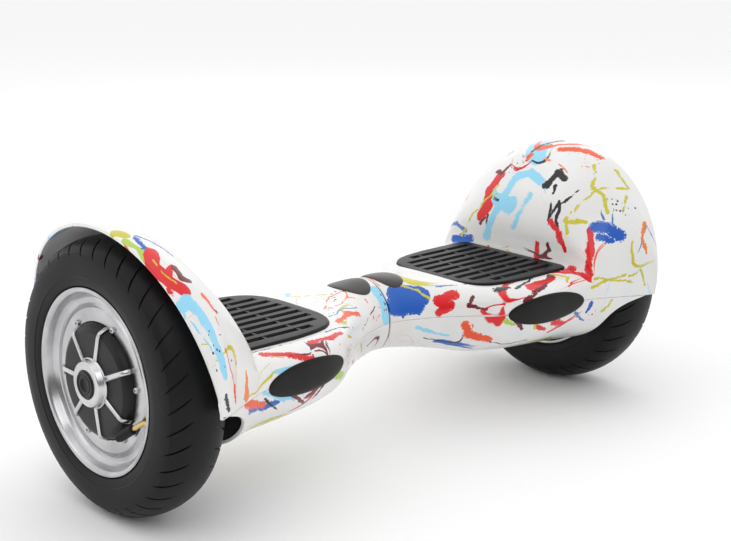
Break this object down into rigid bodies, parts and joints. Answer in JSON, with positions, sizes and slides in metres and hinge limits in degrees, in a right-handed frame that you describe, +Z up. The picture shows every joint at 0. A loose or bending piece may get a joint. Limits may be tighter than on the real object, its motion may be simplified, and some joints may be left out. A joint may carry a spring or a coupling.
{
  "type": "self balancing hoverboard",
  "caption": "Self-balancing board: footboard halves that twist on a central pivot, hub-motor wheels under tall arches, sprung foot pads, light lenses, power button and charge socket.",
  "frame": {"origin": "on the floor midway between the wheels, at the centre of the base of the bounding box", "axes": "+X from the left half to the right half along the wheels' axle line, +Y towards the rear (the side with the charge socket), +Z up"},
  "size_m": [0.664, 0.2874, 0.2685],
  "materials": {
    "painted_shell": "glossy white with sprayed brush strokes and splashes in bright colours",
    "black_rubber": "matt",
    "tyre_rubber": "matt",
    "black_lens": "polished",
    "smoked_lens": "polished",
    "bright_aluminium": "turned, satin",
    "cast_aluminium": "cast",
    "black_cover": "satin black",
    "steel": "bright",
    "copper": "enamelled wire",
    "brass": "bright",
    "circuit_board": "satin",
    "battery_case": "shrink sleeve",
    "heat_sink": "satin",
    "black_plastic": "satin",
    "button_plastic": "glossy"
  },
  "bodies": {
    "left_half": {"left_frame": "cast_aluminium", "left_top_shell": "painted_shell", "left_bottom_shell": "painted_shell", "left_arch_liner": "black_plastic", "left_sensor_board": "circuit_board", "left_headlight_lens": "black_lens", "left_indicator_lens": "smoked_lens", "left_light_boards": "circuit_board", "left_axle": "steel", "left_axle_clamp": "cast_aluminium", "left_fasteners": "steel", "left_stator": "steel", "left_windings": "copper", "pivot_tube": "steel", "pivot_clip": "steel", "pivot_cable": "black_rubber", "battery_pack": "battery_case"},
    "right_half": {"right_frame": "cast_aluminium", "right_top_shell": "painted_shell", "right_bottom_shell": "painted_shell", "right_arch_liner": "black_plastic", "right_sensor_board": "circuit_board", "right_headlight_lens": "black_lens", "right_indicator_lens": "smoked_lens", "right_light_boards": "circuit_board", "right_axle": "steel", "right_axle_clamp": "cast_aluminium", "right_fasteners": "steel", "right_stator": "steel", "right_windings": "copper", "pivot_bushes": "black_plastic", "control_board": "heat_sink", "charge_socket": "black_plastic"},
    "left_wheel": {"left_bearings": "steel", "left_magnet_ring": "steel", "left_inner_cover": "black_cover", "left_outer_cover": "black_cover", "left_spider": "bright_aluminium", "left_hub_plug": "black_plastic", "left_cover_screws": "steel", "left_rim": "bright_aluminium", "left_inner_tube": "black_rubber", "left_tyre": "tyre_rubber", "left_valve_stem": "brass", "left_valve_cap": "black_plastic"},
    "right_wheel": {"right_bearings": "steel", "right_magnet_ring": "steel", "right_inner_cover": "black_cover", "right_outer_cover": "black_cover", "right_spider": "bright_aluminium", "right_hub_plug": "black_plastic", "right_cover_screws": "steel", "right_rim": "bright_aluminium", "right_inner_tube": "black_rubber", "right_tyre": "tyre_rubber", "right_valve_stem": "brass", "right_valve_cap": "black_plastic"},
    "left_pad": {"left_foot_pad": "black_rubber"},
    "right_pad": {"right_foot_pad": "black_rubber"},
    "button": {"power_button": "button_plastic"}
  },
  "joints": [
    {"name": "half_pivot", "type": "hinge", "parent": "left_half", "child": "right_half", "pos_m": [0, 0, 0.127], "axis": [1, 0, 0], "range_deg": [-10, 10]},
    {"name": "left_wheel_spin", "type": "hinge", "parent": "left_half", "child": "left_wheel", "pos_m": [-0.294, 0, 0.127], "axis": [1, 0, 0], "continuous": true},
    {"name": "right_wheel_spin", "type": "hinge", "parent": "right_half", "child": "right_wheel", "pos_m": [0.294, 0, 0.127], "axis": [1, 0, 0], "continuous": true},
    {"name": "left_pad_press", "type": "slide", "parent": "left_half", "child": "left_pad", "axis": [0, 0, -1], "range_m": [0, 0.0012], "stiffness_N_per_m": 3000, "springref_m": -0.002},
    {"name": "right_pad_press", "type": "slide", "parent": "right_half", "child": "right_pad", "axis": [0, 0, -1], "range_m": [0, 0.0012], "stiffness_N_per_m": 3000, "springref_m": -0.002},
    {"name": "power_button_press", "type": "slide", "parent": "right_half", "child": "button", "axis": [0.1159, -0.8503, 0.5133], "range_m": [0, 0.0012], "stiffness_N_per_m": 800, "springref_m": -0.001}
  ]
}
